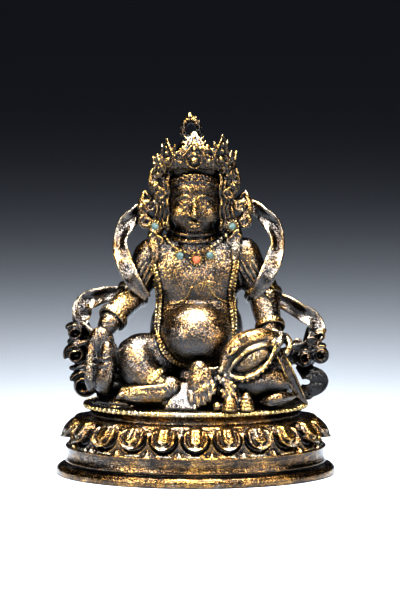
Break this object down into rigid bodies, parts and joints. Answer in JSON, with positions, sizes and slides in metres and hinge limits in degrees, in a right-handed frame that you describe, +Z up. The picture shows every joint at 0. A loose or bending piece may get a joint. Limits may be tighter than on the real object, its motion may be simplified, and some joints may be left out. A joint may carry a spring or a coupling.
{
  "type": "jambhala statue",
  "caption": "Seated pot-bellied wealth deity with a crown, scarves and a mongoose on an oval single-row lotus pedestal, cast bronze.",
  "frame": {"origin": "middle of the underside of the pedestal", "axes": "+Z up, the figure faces -Y, +X is to the right of someone facing it"},
  "size_m": [0.14, 0.0978, 0.1815],
  "materials": {
    "rubbed_bronze": "dark patinated bronze, rubbed to yellow gold on the petals, beads and mouldings",
    "dark_bronze": "brown-black patinated bronze, rubbed to gold on the high points, with stippled skin",
    "coral": "polished opaque cabochon",
    "turquoise": "polished opaque cabochon"
  },
  "bodies": {
    "root": {"lotus_base": "rubbed_bronze", "figure": "dark_bronze", "coral_cabochon": "coral", "turquoise_cabochon_left": "turquoise", "turquoise_cabochon_right": "turquoise", "ear_turquoise_left": "turquoise", "ear_turquoise_right": "turquoise"}
  },
  "joints": []
}
